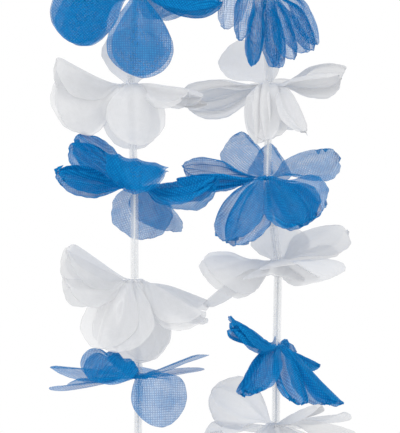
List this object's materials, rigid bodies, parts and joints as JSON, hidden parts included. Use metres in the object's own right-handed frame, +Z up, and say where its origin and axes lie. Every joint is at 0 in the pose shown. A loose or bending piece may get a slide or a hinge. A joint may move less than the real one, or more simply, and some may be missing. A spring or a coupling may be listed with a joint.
{
  "type": "artificial flower lei",
  "caption": "Garland loop of fabric flowers, alternately blue and white, threaded on a cord with short clear tubes as spacers, hung over a neck or a hook.",
  "frame": {"origin": "the point where the hanging loop rests on what holds it: on the cord's axis at the highest flower, with the cord level there", "axes": "+Z up along the two hanging strands, +X from the left strand to the right strand as seen from the front, -Y toward the viewer, so the loop lies in the XZ plane"},
  "size_m": [0.1765, 0.1034, 0.5385],
  "materials": {
    "blue_fabric": "sheer woven, pleated",
    "white_fabric": "sheer woven, pleated",
    "clear_tube": "clear, glossy",
    "cord": "twisted thread"
  },
  "bodies": {
    "root": {"cord_loop": "cord", "flower_bottom": "blue_fabric", "flower_left_1": "blue_fabric", "flower_left_2": "white_fabric", "flower_left_3": "blue_fabric", "flower_left_4": "white_fabric", "flower_left_5": "blue_fabric", "flower_left_6": "white_fabric", "flower_left_7": "blue_fabric", "flower_left_8": "white_fabric", "flower_right_1": "blue_fabric", "flower_right_2": "white_fabric", "flower_right_3": "blue_fabric", "flower_right_4": "white_fabric", "flower_right_5": "blue_fabric", "flower_right_6": "white_fabric", "flower_right_7": "blue_fabric", "flower_right_8": "white_fabric", "flower_top": "white_fabric", "tube_01": "clear_tube", "tube_02": "clear_tube", "tube_03": "clear_tube", "tube_04": "clear_tube", "tube_05": "clear_tube", "tube_06": "clear_tube", "tube_07": "clear_tube", "tube_08": "clear_tube", "tube_09": "clear_tube", "tube_10": "clear_tube", "tube_11": "clear_tube", "tube_12": "clear_tube", "tube_13": "clear_tube", "tube_14": "clear_tube", "tube_15": "clear_tube", "tube_16": "clear_tube", "tube_17": "clear_tube", "tube_18": "clear_tube"}
  },
  "joints": []
}
